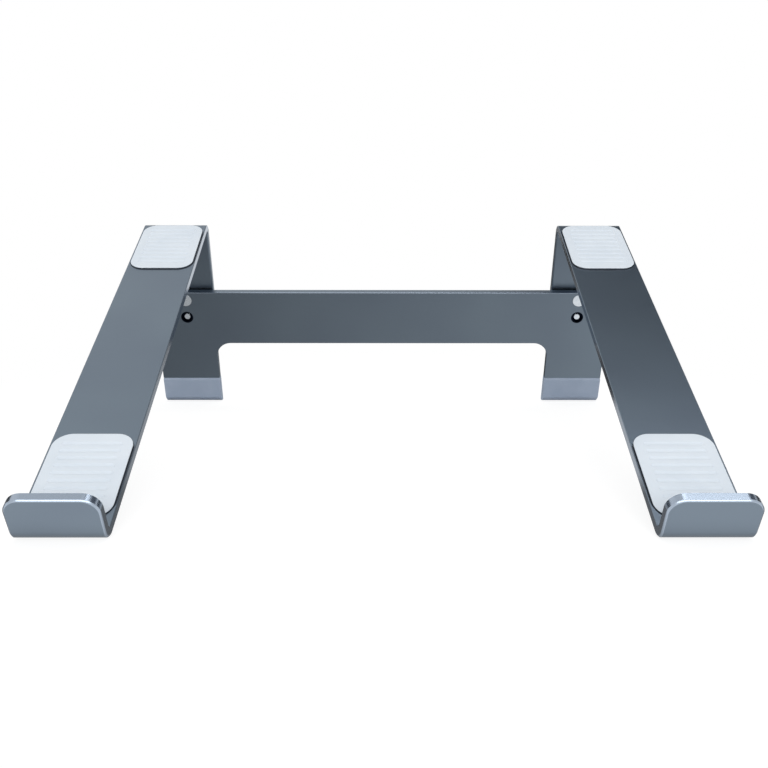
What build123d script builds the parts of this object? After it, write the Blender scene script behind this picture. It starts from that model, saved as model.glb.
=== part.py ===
from build123d import *
from math import cos, radians, sin, tan
import os

# Adjustable laptop stand: two bent sheet arms on a crossbar plate with soft foot caps.
# Frame: +Z up, -Y towards the user, X = 0 is the plane of symmetry, the desk is Z = 0.
# Millimetres. The right-hand pieces (+X) are modelled and the left-hand ones mirrored.

# Driving dimensions: the arms
overall_width = 265.8
arm_width = 34.4
arm_sheet = 4.0
strip_slope = 26.3          # degrees from the desk
strip_length = 236.0        # from the sharp corner at the lip to the start of the top bend
lip_height = 21.7           # from the same sharp corner to the lip's top edge
lip_bend_radius = 6.0       # outside of the bend at the lip
top_bend_radius = 5.5       # outside of the bend at the top
lip_corner_radius = 6.7
leg_end_flat = 2.4          # between the leg's two end corners, which leave it nearly a full round
leg_lean = 19.0             # degrees from vertical, the foot behind the top
leg_below_slot = 9.0        # from the slot's lower end to the leg's lower end
arm_edge = 0.9              # chamfer round the sheet's outer face, which the lip shows in front
arm_top_edge = 0.2          # chamfer round the face that carries the laptop

# Driving dimensions: the crossbar plate, measured up along the lean from its sole
plate_sheet = 4.0
bar_inset = 0.4             # from each arm's outer side to the crossbar's end
bar_top = 72.6
bar_bottom = 39.8
notch_radius = 6.5
bar_corner_radius = 3.0
plate_edge = 0.5            # chamfer round the front face
plate_back_edge = 0.2
tongue_shoulder = 16.2      # the cap reaches up to here
sole_thickness = 2.0        # soft material under the tongue's end

# Driving dimensions: the foot caps
cap_wall = 0.9
cap_top_bevel = 1.5
cap_sole_bevel = 2.4
cap_bevel_depth = 0.6
cap_side_edge = 0.5

# Driving dimensions: the slide between each arm's leg and the crossbar
height_travel = 20.0
spacer_sheet = 1.5
spacer_width = 22.0
spacer_top_margin = 1.0     # below the bar's top edge
spacer_bottom_margin = 11.2 # below the clamp screw's middle
slide_play = 0.1            # running clearance on each side of the leg
pin_from_inner_edge = 15.6
pin_below_top = 5.0         # from the bar's top edge to the guide pin's middle
slot_play = 0.3             # between the wider of bush and pin and the slot's wall
slot_edge = 0.3
press_play = 0.05           # between a fixed round piece and its hole
pin_diameter = 6.8
pin_proud = 0.15
pin_rivet_diameter = 8.4
pin_rivet_height = 1.4
pin_rivet_bevel = 0.8
bush_diameter = 7.0
bush_short = 0.3            # the bush ends this far inside the leg's rear face
bush_rim = 0.45             # wall around the recess at the bush's mouth
bush_recess_depth = 1.5
thread_diameter = 4.0
screw_tip_depth = 1.0       # the screw's tip stays this far behind the crossbar's face
screw_head_diameter = 7.6
screw_head_height = 2.3
screw_head_bevel = 1.3
screw_key = 2.5             # across the flats of the hexagon socket
screw_key_depth = 1.4
washer_diameter = 10.0
washer_sheet = 0.8
washer_gap = 0.8            # between the pin's washer and the screw's

# Driving dimensions: the soft pads
pad_length = 45.5
pad_margin = 1.0            # from the arm's side to the pad
pad_thickness = 1.2
pad_recess = 0.7            # how deep the pad is let into the arm
pad_seat_play = 0.1
pad_corner_radius = 7.5
pad_edge = 0.35
front_pad_start = 10.0      # from the sharp corner at the lip
rear_pad_end_margin = 0.5   # from the pad to the start of the top bend
groove_count = 9
groove_pitch = 4.3
groove_side_margin = 4.0
groove_width = 2.1
groove_depth = 0.25
lip_pad_thickness = 1.0
lip_pad_corner_radius = 3.0
lip_pad_side_margin = 5.0
lip_pad_top_margin = 3.0
lip_pad_bottom_margin = 1.4 # above the end of the bend

# Driving dimensions: the wedge feet under the lips
bend_above_desk = 0.3
wedge_side_margin = 3.0
wedge_front = 1.2           # behind the lowest line of the bend
wedge_depth = 8.5
wedge_corner = 1.5

# Directions in the Y-Z plane
slope = radians(strip_slope)
lean = radians(leg_lean)
along_strip = Vector(0, cos(slope), sin(slope))
off_strip = Vector(0, -sin(slope), cos(slope))
up_leg = Vector(0, -sin(lean), cos(lean))
off_leg = Vector(0, -cos(lean), -sin(lean))
rearward = Axis((0, 0, 0), -off_leg)

# The sharp corner where the underside of the strip would meet the lip's outer face
corner_height = bend_above_desk - lip_bend_radius * (sin(slope) + cos(slope) - 1)
top_turn = radians(90.0 - leg_lean + strip_slope)
top_corner_along = strip_length + top_bend_radius * tan(top_turn / 2)

# Heights up the crossbar's lean: the guide pin, and the clamp screw one washer below it
pin_height = bar_top - pin_below_top
screw_height = pin_height - washer_diameter - washer_gap
slot_low = screw_height - height_travel
slot_width = max(pin_diameter, bush_diameter) + 2 * slot_play
leg_clearance = slot_low - slot_width / 2 - leg_below_slot

# Layers behind the crossbar's front face
leg_front = plate_sheet + spacer_sheet + slide_play
leg_back = leg_front + arm_sheet
washer_front = leg_back + slide_play
washer_back = washer_front + washer_sheet

# Where the crossbar's front face meets the desk, measured from the sharp corner at the lip
top_corner_from_lip = along_strip * top_corner_along + off_strip * arm_sheet
top_corner_height = top_corner_from_lip.Z + corner_height
sole_from_lip = top_corner_from_lip.Y + (top_corner_height * sin(lean) - leg_back) / cos(lean)

# The origin is the middle of the footprint
front_reach = (lip_height - arm_edge) * sin(slope)
rear_reach = sole_from_lip + (plate_sheet + cap_wall) / cos(lean)
lip_corner = Vector(0, (front_reach - rear_reach) / 2, corner_height)
sole_y = lip_corner.Y + sole_from_lip

# Planes that carry the pieces
side_plane = Plane.YZ.offset(overall_width / 2 - arm_width)
bar_width = overall_width - 2 * bar_inset
bar_leg_width = arm_width - bar_inset
arm_middle = (overall_width - arm_width) / 2
bar_leg_middle = (bar_width - bar_leg_width) / 2
pin_x = overall_width / 2 - arm_width + pin_from_inner_edge
pad_width = arm_width - 2 * pad_margin
groove_length = pad_width - 2 * groove_side_margin
lip_pad_width = arm_width - 2 * lip_pad_side_margin
lip_pad_low = lip_bend_radius + lip_pad_bottom_margin
lip_pad_high = lip_height - lip_pad_top_margin
wedge_width = arm_width - 2 * wedge_side_margin
spacer_high = bar_top - spacer_top_margin
spacer_low = screw_height - spacer_bottom_margin
bar_face = Plane(origin=(0, sole_y, 0), x_dir=(1, 0, 0), z_dir=off_leg)
strip_top = Plane(
    origin=lip_corner + off_strip * arm_sheet + Vector(arm_middle, 0, 0),
    x_dir=(1, 0, 0), z_dir=off_strip,
)
lip_inside = Plane(
    origin=lip_corner + along_strip * arm_sheet + Vector(arm_middle, 0, 0),
    x_dir=(-1, 0, 0), z_dir=along_strip,
)
front_pad_middle = front_pad_start + pad_length / 2
rear_pad_middle = strip_length - rear_pad_end_margin - pad_length / 2

os.makedirs("parts", exist_ok=True)


def bar_point(height, layer):
    """Return a point of the Y-Z plane by its height along the leg and its layer in front of the bar's face."""
    point = Vector(0, sole_y, 0) + up_leg * height + off_leg * layer
    return (point.Y, point.Z)


def sole_point(layer):
    """Return the point where a layer in front of the bar's face meets the desk."""
    return bar_point(layer * tan(lean), layer)


def disc(diameter, height, front, back):
    """Add a round to the part in hand, between two depths behind the bar's face."""
    with BuildSketch(bar_face.offset(-front)) as end:
        with Locations((pin_x, height)):
            Circle(diameter / 2)
    extrude(end.sketch, amount=front - back)


def bore(diameter, height, front, back):
    """Cut a round out of the part in hand, between two depths behind the bar's face."""
    with BuildSketch(bar_face.offset(-front)) as mouth:
        with Locations((pin_x, height)):
            Circle(diameter / 2)
    extrude(mouth.sketch, amount=front - back, mode=Mode.SUBTRACT)


def mirrored_copy(piece, name):
    """Return the left-hand twin of a right-hand piece, with its own label."""
    with BuildPart() as twin:
        mirror(piece.part, about=Plane.YZ)
    twin.part.label = name
    return twin


def ribbed_pad(middle):
    """Return a pad whose middle is this far up the strip, let into the arm and grooved across."""
    face = strip_top.offset(pad_thickness - pad_recess)
    with BuildPart() as pad:
        with BuildSketch(face):
            with Locations((0, middle)):
                RectangleRounded(pad_width, pad_length, pad_corner_radius)
        extrude(amount=-pad_thickness)
        chamfer(pad.faces().sort_by(Axis((0, 0, 0), off_strip))[-1].edges(), pad_edge)
        with BuildSketch(face):
            with Locations((0, middle)):
                with GridLocations(0, groove_pitch, 1, groove_count):
                    Rectangle(groove_length, groove_width)
        extrude(amount=-groove_depth, mode=Mode.SUBTRACT)
    return pad


# Arm: one sheet bent at the lip and at the top, with seats for its pads and a slot in its leg
lip_end = lip_corner + off_strip * lip_height + along_strip * arm_sheet
inner_corner = lip_corner + off_strip * arm_sheet + along_strip * arm_sheet
top_corner = lip_corner + top_corner_from_lip
leg_end = Vector(0, sole_y, 0) - off_leg * leg_back + up_leg * leg_clearance

top_points = [(point.Y, point.Z) for point in (lip_end, inner_corner, top_corner, leg_end)]
top_radii = (lip_bend_radius - arm_sheet, top_bend_radius)

with BuildLine(Plane.YZ) as top_line:
    FilletPolyline(*top_points, radius=top_radii)


def on_outer_face(edge):
    """Tell the edges round the sheet's outer face from those round the face that carries the laptop."""
    place = edge.center()
    return top_line.line.distance_to(Vertex(0, place.Y, place.Z)) > arm_sheet / 2


with BuildPart() as right_arm:
    with BuildSketch(side_plane):
        with BuildLine():
            FilletPolyline(*top_points, radius=top_radii)
            offset(amount=arm_sheet, side=Side.RIGHT)
        make_face()
    extrude(amount=arm_width)
    corners = right_arm.edges().filter_by(lambda edge: abs(edge.length - arm_sheet) < 0.001).sort_by(Axis.Y)
    fillet(corners[:2], lip_corner_radius)
    fillet(corners[2:], (arm_width - leg_end_flat) / 2)
    rims = right_arm.faces().filter_by(Axis.X).edges().filter_by(lambda edge: edge.length > arm_sheet)
    chamfer(rims.filter_by(on_outer_face), arm_edge)
    rims = right_arm.faces().filter_by(Axis.X).edges().filter_by(lambda edge: edge.length > arm_sheet)
    chamfer(rims.filter_by(lambda edge: not on_outer_face(edge)), arm_top_edge)
    with BuildSketch(strip_top):
        with Locations((0, front_pad_middle), (0, rear_pad_middle)):
            RectangleRounded(pad_width + 2 * pad_seat_play, pad_length + 2 * pad_seat_play,
                             pad_corner_radius + pad_seat_play)
    extrude(amount=-pad_recess, mode=Mode.SUBTRACT)
    with BuildSketch(bar_face.offset(-leg_front)):
        with Locations((pin_x, (slot_low + pin_height) / 2)):
            SlotCenterToCenter(pin_height - slot_low, slot_width, rotation=90)
    extrude(amount=-arm_sheet, mode=Mode.SUBTRACT)
    rims = right_arm.edges(Select.LAST).filter_by(lambda edge: abs(edge.length - arm_sheet) > 0.001)
    chamfer(rims, slot_edge)
right_arm.part.label = "right_arm"
export_step(right_arm.part, "parts/right_arm.step")

left_arm = mirrored_copy(right_arm, "left_arm")
export_step(left_arm.part, "parts/left_arm.step")

# Crossbar: a flat plate with two short legs, each ending in a tongue for its foot cap
with BuildPart() as crossbar:
    with BuildSketch(bar_face) as bar_outline:
        with Locations((0, (bar_top + bar_bottom) / 2)):
            Rectangle(bar_width, bar_top - bar_bottom)
        with Locations((-bar_leg_middle, 0), (bar_leg_middle, 0)):
            with Locations((0, tongue_shoulder)):
                Rectangle(bar_leg_width, bar_bottom - tongue_shoulder, align=(Align.CENTER, Align.MIN))
            with Locations((0, sole_thickness)):
                Rectangle(bar_leg_width - 2 * cap_wall, tongue_shoulder - sole_thickness,
                          align=(Align.CENTER, Align.MIN))
        fillet(bar_outline.vertices().filter_by(lambda vertex: abs(vertex.Y - bar_bottom) < 0.001), notch_radius)
        fillet(bar_outline.vertices().filter_by(lambda vertex: abs(vertex.Y - bar_top) < 0.001), bar_corner_radius)
    extrude(amount=-plate_sheet)
    chamfer(crossbar.faces().sort_by(rearward)[0].edges(), plate_edge)
    chamfer(crossbar.faces().sort_by(rearward)[-1].edges(), plate_back_edge)
    with BuildSketch(bar_face):
        with Locations((-pin_x, pin_height), (pin_x, pin_height)):
            Circle(pin_diameter / 2 + press_play)
        with Locations((-pin_x, screw_height), (pin_x, screw_height)):
            Circle(bush_diameter / 2 + press_play)
    extrude(amount=-plate_sheet, mode=Mode.SUBTRACT)
crossbar.part.label = "crossbar"
export_step(crossbar.part, "parts/crossbar.step")

# Foot cap: a moulded sleeve with a flat sole, bevelled at its rim and above its sole
with BuildPart() as right_foot_cap:
    with BuildSketch(side_plane):
        with BuildLine():
            front, back = cap_wall, -plate_sheet - cap_wall
            Polyline(
                sole_point(front - cap_bevel_depth),
                bar_point(cap_sole_bevel, front),
                bar_point(tongue_shoulder - cap_top_bevel, front),
                bar_point(tongue_shoulder, front - cap_bevel_depth),
                bar_point(tongue_shoulder, back + cap_bevel_depth),
                bar_point(tongue_shoulder - cap_top_bevel, back),
                sole_point(back),
                close=True,
            )
        make_face()
    extrude(amount=bar_leg_width)
    sides = right_foot_cap.faces().filter_by(Axis.X).edges()
    chamfer(sides.filter_by(lambda edge: edge.center().Z > 0.001), cap_side_edge)
    add(crossbar.part, mode=Mode.SUBTRACT)
right_foot_cap.part.label = "right_foot_cap"
export_step(right_foot_cap.part, "parts/right_foot_cap.step")

left_foot_cap = mirrored_copy(right_foot_cap, "left_foot_cap")
export_step(left_foot_cap.part, "parts/left_foot_cap.step")

# Silicone pads on the strip, let into the sheet and grooved across
right_front_pad = ribbed_pad(front_pad_middle)
right_front_pad.part.label = "right_front_pad"
export_step(right_front_pad.part, "parts/right_front_pad.step")

left_front_pad = mirrored_copy(right_front_pad, "left_front_pad")
export_step(left_front_pad.part, "parts/left_front_pad.step")

right_rear_pad = ribbed_pad(rear_pad_middle)
right_rear_pad.part.label = "right_rear_pad"
export_step(right_rear_pad.part, "parts/right_rear_pad.step")

left_rear_pad = mirrored_copy(right_rear_pad, "left_rear_pad")
export_step(left_rear_pad.part, "parts/left_rear_pad.step")

# Thin pad on the inner face of the lip
with BuildPart() as right_lip_pad:
    with BuildSketch(lip_inside):
        with Locations((0, (lip_pad_low + lip_pad_high) / 2)):
            RectangleRounded(lip_pad_width, lip_pad_high - lip_pad_low, lip_pad_corner_radius)
    extrude(amount=lip_pad_thickness)
right_lip_pad.part.label = "right_lip_pad"
export_step(right_lip_pad.part, "parts/right_lip_pad.step")

left_lip_pad = mirrored_copy(right_lip_pad, "left_lip_pad")
export_step(left_lip_pad.part, "parts/left_lip_pad.step")

# Wedge foot between the desk and the underside of the sheet, just behind the bend
bend_lowest = lip_corner.Y + lip_bend_radius * (cos(slope) - sin(slope))
wedge_start = bend_lowest + wedge_front
wedge_end = wedge_start + wedge_depth


def sheet_middle_height(y):
    """Return the height of the middle of the strip's sheet at a place along Y."""
    return corner_height + (y - lip_corner.Y) * tan(slope) + arm_sheet / 2 / cos(slope)


with BuildPart() as right_front_foot:
    with BuildSketch(Plane.YZ.offset(arm_middle - wedge_width / 2)):
        with BuildLine():
            Polyline(
                (wedge_start, 0),
                (wedge_end, 0),
                (wedge_end, sheet_middle_height(wedge_end)),
                (wedge_start, sheet_middle_height(wedge_start)),
                close=True,
            )
        make_face()
    extrude(amount=wedge_width)
    chamfer(right_front_foot.edges().filter_by(Axis.Z), wedge_corner)
    add(right_arm.part, mode=Mode.SUBTRACT)
right_front_foot.part.label = "right_front_foot"
export_step(right_front_foot.part, "parts/right_front_foot.step")

left_front_foot = mirrored_copy(right_front_foot, "left_front_foot")
export_step(left_front_foot.part, "parts/left_front_foot.step")

# Spacer: the low-friction shim between the crossbar and the arm's leg
with BuildPart() as right_spacer:
    with BuildSketch(bar_face.offset(-plate_sheet)):
        with Locations((pin_x, (spacer_low + spacer_high) / 2)):
            Rectangle(spacer_width, spacer_high - spacer_low)
        with Locations((pin_x, pin_height)):
            Circle(pin_diameter / 2 + press_play, mode=Mode.SUBTRACT)
        with Locations((pin_x, screw_height)):
            Circle(bush_diameter / 2 + press_play, mode=Mode.SUBTRACT)
    extrude(amount=-spacer_sheet)
right_spacer.part.label = "right_spacer"
export_step(right_spacer.part, "parts/right_spacer.step")

left_spacer = mirrored_copy(right_spacer, "left_spacer")
export_step(left_spacer.part, "parts/left_spacer.step")

# Guide pin: pressed into the crossbar, riveted over a washer behind the leg
with BuildPart() as right_guide_pin:
    disc(pin_diameter, pin_height, -pin_proud, washer_back)
    disc(pin_rivet_diameter, pin_height, washer_back, washer_back + pin_rivet_height)
    chamfer(right_guide_pin.faces().sort_by(rearward)[-1].edges(), pin_rivet_bevel)
right_guide_pin.part.label = "right_guide_pin"
export_step(right_guide_pin.part, "parts/right_guide_pin.step")

left_guide_pin = mirrored_copy(right_guide_pin, "left_guide_pin")
export_step(left_guide_pin.part, "parts/left_guide_pin.step")

# Threaded bush: pressed into the crossbar, its rear half guides the slot
with BuildPart() as right_threaded_bush:
    disc(bush_diameter, screw_height, 0, leg_back - bush_short)
    bore(bush_diameter - 2 * bush_rim, screw_height, 0, bush_recess_depth)
    bore(thread_diameter + 2 * press_play, screw_height, bush_recess_depth, leg_back)
right_threaded_bush.part.label = "right_threaded_bush"
export_step(right_threaded_bush.part, "parts/right_threaded_bush.step")

left_threaded_bush = mirrored_copy(right_threaded_bush, "left_threaded_bush")
export_step(left_threaded_bush.part, "parts/left_threaded_bush.step")

# Clamp screw: a low round head behind the leg, its tip showing in the bush
with BuildPart() as right_clamp_screw:
    disc(thread_diameter, screw_height, screw_tip_depth, washer_back)
    disc(screw_head_diameter, screw_height, washer_back, washer_back + screw_head_height)
    chamfer(right_clamp_screw.faces().sort_by(rearward)[-1].edges(), screw_head_bevel)
    with BuildSketch(bar_face.offset(-washer_back - screw_head_height)):
        with Locations((pin_x, screw_height)):
            RegularPolygon(screw_key / 2, 6, major_radius=False)
    extrude(amount=screw_key_depth, mode=Mode.SUBTRACT)
right_clamp_screw.part.label = "right_clamp_screw"
export_step(right_clamp_screw.part, "parts/right_clamp_screw.step")

left_clamp_screw = mirrored_copy(right_clamp_screw, "left_clamp_screw")
export_step(left_clamp_screw.part, "parts/left_clamp_screw.step")

# Washers behind the leg, one under the rivet and one under the screw's head
with BuildPart() as right_pin_washer:
    disc(washer_diameter, pin_height, washer_front, washer_back)
    bore(pin_diameter + 2 * press_play, pin_height, washer_front, washer_back)
right_pin_washer.part.label = "right_pin_washer"
export_step(right_pin_washer.part, "parts/right_pin_washer.step")

left_pin_washer = mirrored_copy(right_pin_washer, "left_pin_washer")
export_step(left_pin_washer.part, "parts/left_pin_washer.step")

with BuildPart() as right_screw_washer:
    disc(washer_diameter, screw_height, washer_front, washer_back)
    bore(thread_diameter + 2 * press_play, screw_height, washer_front, washer_back)
right_screw_washer.part.label = "right_screw_washer"
export_step(right_screw_washer.part, "parts/right_screw_washer.step")

left_screw_washer = mirrored_copy(right_screw_washer, "left_screw_washer")
export_step(left_screw_washer.part, "parts/left_screw_washer.step")
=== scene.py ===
import logging
from dataclasses import dataclass, replace
from enum import Enum
from math import cos, pi, radians, sin, tan
from typing import Callable

import bmesh
import bpy
from mathutils import Matrix, Vector


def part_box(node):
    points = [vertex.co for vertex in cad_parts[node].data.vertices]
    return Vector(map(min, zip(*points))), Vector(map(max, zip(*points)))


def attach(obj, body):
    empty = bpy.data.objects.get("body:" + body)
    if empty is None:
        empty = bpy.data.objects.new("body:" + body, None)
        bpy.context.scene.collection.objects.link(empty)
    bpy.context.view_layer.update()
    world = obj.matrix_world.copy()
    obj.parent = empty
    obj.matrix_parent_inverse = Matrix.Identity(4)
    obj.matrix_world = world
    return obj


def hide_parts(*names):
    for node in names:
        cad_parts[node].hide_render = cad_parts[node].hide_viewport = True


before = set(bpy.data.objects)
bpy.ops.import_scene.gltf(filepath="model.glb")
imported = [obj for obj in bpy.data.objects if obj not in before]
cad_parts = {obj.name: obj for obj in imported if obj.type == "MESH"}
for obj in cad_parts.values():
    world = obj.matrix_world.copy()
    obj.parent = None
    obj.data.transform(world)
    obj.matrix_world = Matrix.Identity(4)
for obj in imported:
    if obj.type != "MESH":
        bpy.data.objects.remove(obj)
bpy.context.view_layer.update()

# Adjustable laptop stand, dressed for its picture. Sizes are in millimetres up to the moment a
# piece is placed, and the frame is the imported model's own: +Z up, -Y towards the user, the desk at 0.

log = logging.getLogger("laptop_stand")

MM = 0.001
# How close counts as at a place, as on a face, and as one and the same point.
NEAR = 0.1
FLUSH = 0.01
SAME = 0.002
# How much of a direction lies along an axis when it counts as along it, and as square to it.
STRAIGHT = 0.9
SQUARE = 0.1
# How far cutters stand out.
CLEAR = 3.0
# How many steps a full turn is made in.
TURN_STEPS = 72
# The span that a noise pattern mostly fills, and a ring's width, in metres, in a wave of scale 1.
NOISE_RANGE = (0.3, 0.7)
WAVE = 0.314
# What the lamps and cards look at, in metres.
STAND_MIDDLE = (0.0, 0.0, 0.06)
# The strips' slope, the leg's lean, and how far the sheet turns at its top bend.
SLOPE = radians(26.3)
LEAN = radians(19.0)
TOP_TURN = radians(90) - LEAN + SLOPE
ACROSS = Vector((1, 0, 0))
ALONG_STRIP = Vector((0, cos(SLOPE), sin(SLOPE)))
OFF_STRIP = Vector((0, -sin(SLOPE), cos(SLOPE)))
UP_LEG = Vector((0, -sin(LEAN), cos(LEAN)))
OFF_LEG = Vector((0, -cos(LEAN), -sin(LEAN)))
Pair = tuple[float, float]
Triple = tuple[float, float, float]
Test = Callable[[Vector, Vector], bool]


class Side(Enum):
    """Left or right, as the user sits in front of the stand."""

    LEFT = -1
    RIGHT = 1

    def node(self, piece: str) -> str:
        """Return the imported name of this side's piece."""
        return f"{self.name.lower()}_{piece}"

    @property
    def body(self) -> str:
        """Return the body that this side's arm moves with."""
        return self.node("arm_body")


class Element(Enum):
    """What an edit-mode selection is made of."""

    VERTEX = "VERT"
    EDGE = "EDGE"
    FACE = "FACE"


def reach(node: str, direction: Vector) -> Pair:
    """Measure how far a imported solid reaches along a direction.

    Args:
        node: The solid's name.
        direction: A unit direction in the shared frame.

    Returns:
        Its lowest and highest place along that direction, in millimetres.
    """
    places = [vertex.co.dot(direction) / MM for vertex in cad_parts[node].data.vertices]
    return min(places), max(places)


def middle(node: str, direction: Vector) -> float:
    """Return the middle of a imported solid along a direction, in millimetres."""
    return sum(reach(node, direction)) / 2


def extent(node: str, direction: Vector) -> float:
    """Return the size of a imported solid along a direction, in millimetres."""
    low, high = reach(node, direction)
    return high - low


@dataclass(frozen=True)
class Seat:
    """Where a piece sits: the place of its own origin and the directions of its own axes."""

    origin: Vector
    x_axis: Vector
    y_axis: Vector
    z_axis: Vector

    @property
    def matrix(self) -> Matrix:
        """Return the transform from the piece's own axes to the shared frame, in metres."""
        turn = Matrix((self.x_axis, self.y_axis, self.z_axis)).transposed().to_4x4()
        return Matrix.Translation(self.origin * MM) @ turn

    @classmethod
    def on_top_of(cls, node: str, y_axis: Vector, z_axis: Vector) -> "Seat":
        """Make a seat at the middle of a solid's outer face.

        Args:
            node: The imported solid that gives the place.
            y_axis: The direction of the piece's length.
            z_axis: The direction that the face looks in.

        Returns:
            The seat, whose x direction goes across both.
        """
        x_axis = y_axis.cross(z_axis)
        origin = x_axis * middle(node, x_axis) + y_axis * middle(node, y_axis)
        return cls(origin + z_axis * reach(node, z_axis)[1], x_axis, y_axis, z_axis)

    @classmethod
    def behind_bar(cls, node: str) -> "Seat":
        """Make a seat on the crossbar's front face, at the middle of a round piece.

        Args:
            node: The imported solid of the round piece.

        Returns:
            The seat, with +z out of the crossbar's front face.
        """
        face = reach("crossbar", OFF_LEG)[1]
        origin = ACROSS * middle(node, ACROSS) + UP_LEG * middle(node, UP_LEG) + OFF_LEG * face
        return cls(origin, ACROSS, UP_LEG, OFF_LEG)


class Workpiece:
    """A mesh on the bench, shaped in millimetres along its own axes and then placed."""

    def __init__(self, thing: bpy.types.Object) -> None:
        """Take an object in hand."""
        self.thing = thing

    @staticmethod
    def clear_bench() -> None:
        """Leave edit mode and deselect everything."""
        if bpy.context.object and bpy.context.object.mode != "OBJECT":
            bpy.ops.object.mode_set(mode="OBJECT")
        bpy.ops.object.select_all(action="DESELECT")

    def hold(self) -> None:
        """Leave edit mode with this piece alone selected."""
        self.clear_bench()
        self.thing.select_set(True)
        bpy.context.view_layer.objects.active = self.thing

    def edit(self) -> None:
        """Go into edit mode with the whole mesh selected."""
        bpy.context.view_layer.objects.active = self.thing
        bpy.ops.object.mode_set(mode="EDIT")
        bpy.ops.mesh.select_all(action="SELECT")

    @classmethod
    def fresh(cls, name: str) -> "Workpiece":
        """Take the primitive that was just added.

        Args:
            name: The name that it and its mesh get.

        Returns:
            The new workpiece.
        """
        thing = bpy.context.object
        thing.name = name
        thing.data.name = name
        bpy.ops.object.transform_apply(location=True, rotation=True, scale=True)
        return cls(thing)

    @classmethod
    def block(cls, name: str, low: Triple, high: Triple) -> "Workpiece":
        """Add a block.

        Args:
            name: The piece's name.
            low: Its lowest corner.
            high: Its highest corner.

        Returns:
            The new workpiece.
        """
        cls.clear_bench()
        size = [(b - a) * MM for a, b in zip(low, high)]
        place = [(a + b) / 2 * MM for a, b in zip(low, high)]
        bpy.ops.mesh.primitive_cube_add(size=1, location=place, scale=size)
        return cls.fresh(name)

    @classmethod
    def tablet(cls, name: str, low: Triple, high: Triple, corner: float, steps: int) -> "Workpiece":
        """Add a block whose upright edges are rounded.

        Args:
            name: The piece's name.
            low: Its lowest corner.
            high: Its highest corner.
            corner: The radius of its upright edges.
            steps: How many steps each round is made in.

        Returns:
            The new workpiece.
        """
        piece = cls.block(name, low, high)
        piece.select(Element.EDGE, lambda place, way: abs(way.z) > STRAIGHT)
        piece.bevel(corner, steps)
        return piece

    @classmethod
    def rod(cls, name: str, radius: float, low: float, high: float, sides: int) -> "Workpiece":
        """Add a round or many-sided rod along its own z.

        Args:
            name: The piece's name.
            radius: From the middle to a corner.
            low: Its lower end.
            high: Its upper end.
            sides: How many sides it has.

        Returns:
            The new workpiece.
        """
        cls.clear_bench()
        bpy.ops.mesh.primitive_cylinder_add(
            vertices=sides, radius=radius * MM, depth=(high - low) * MM,
            location=(0, 0, (low + high) / 2 * MM),
        )
        return cls.fresh(name)

    @classmethod
    def turned(cls, name: str, profile: list[Pair]) -> "Workpiece":
        """Turn a piece about its own z from a chain of points.

        Args:
            name: The piece's name.
            profile: Radius and height of each point of the outline, in order.

        Returns:
            The new workpiece.
        """
        cls.clear_bench()
        bpy.ops.mesh.primitive_plane_add(size=MM)
        piece = cls.fresh(name)
        piece.edit()
        bpy.ops.mesh.select_mode(type="VERT")
        bpy.ops.mesh.merge(type="CENTER")
        last = Vector((0, 0, 0))
        for number, (radius, height) in enumerate(profile):
            point = Vector((radius, 0, height)) * MM
            if number:
                bpy.ops.mesh.extrude_vertices_move(TRANSFORM_OT_translate={"value": point - last})
            else:
                bpy.ops.transform.translate(value=point)
            last = point
        bpy.ops.mesh.select_all(action="SELECT")
        bpy.ops.mesh.spin(steps=TURN_STEPS, angle=radians(360), center=(0, 0, 0), axis=(0, 0, 1))
        piece.tidy()
        return piece

    @classmethod
    def copy_of(cls, name: str, mesh: bpy.types.Mesh) -> "Workpiece":
        """Put a copy of a mesh on the bench.

        Args:
            name: The copy's name.
            mesh: The mesh, which stays as it is.

        Returns:
            The new workpiece, with a mesh of its own.
        """
        cls.clear_bench()
        thing = bpy.data.objects.new(name, mesh.copy())
        bpy.context.collection.objects.link(thing)
        return cls(thing)

    def tidy(self) -> None:
        """Merge doubles and turn every face outwards."""
        self.edit()
        bpy.ops.mesh.remove_doubles(threshold=SAME * MM)
        bpy.ops.mesh.normals_make_consistent(inside=False)
        bpy.ops.object.mode_set(mode="OBJECT")

    def select(self, kind: Element, test: Test, least_turn: float = -1.0) -> None:
        """Select only what passes a test, in edit mode.

        Args:
            kind: Vertices, edges or faces.
            test: Given a place in millimetres and a direction: an edge's own, or a normal.
            least_turn: The turn, in degrees, that an edge's two faces have to make more than.
        """
        bpy.context.view_layer.objects.active = self.thing
        bpy.ops.object.mode_set(mode="EDIT")
        bpy.ops.mesh.select_mode(type=kind.value)
        bpy.ops.mesh.select_all(action="DESELECT")
        mesh = bmesh.from_edit_mesh(self.thing.data)
        mesh.normal_update()
        if kind is Element.EDGE:
            ends = [(edge, edge.verts[0].co, edge.verts[1].co) for edge in mesh.edges]
            found = [edge for edge, a, b in ends if edge.calc_face_angle(0) > radians(least_turn)
                     and test((a + b) / 2 / MM, (b - a).normalized())]
        elif kind is Element.FACE:
            found = [face for face in mesh.faces if test(face.calc_center_median() / MM, face.normal)]
        else:
            found = [vertex for vertex in mesh.verts if test(vertex.co / MM, vertex.normal)]
        for item in found:
            item.select_set(True)
        mesh.select_flush_mode()
        bmesh.update_edit_mesh(self.thing.data)

    def select_sharp(self, test: Test, angle: float = 40.0) -> None:
        """Select the edges that turn by more than an angle in degrees and that pass a test."""
        self.select(Element.EDGE, test, angle)

    def bevel(self, width: float, segments: int = 1, material: int = -1, profile: float = 0.5) -> None:
        """Bevel the selected edges.

        Args:
            width: How far the bevel goes along each face.
            segments: One for a flat chamfer, more for a round.
            material: The material slot of the new faces, or -1 for that of their neighbours.
            profile: A half for a round, towards a quarter for a flat with eased edges.
        """
        bpy.ops.mesh.bevel(
            offset=width * MM, offset_type="OFFSET", segments=segments, profile=profile,
            affect="EDGES", clamp_overlap=False, material=material,
        )

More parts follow.
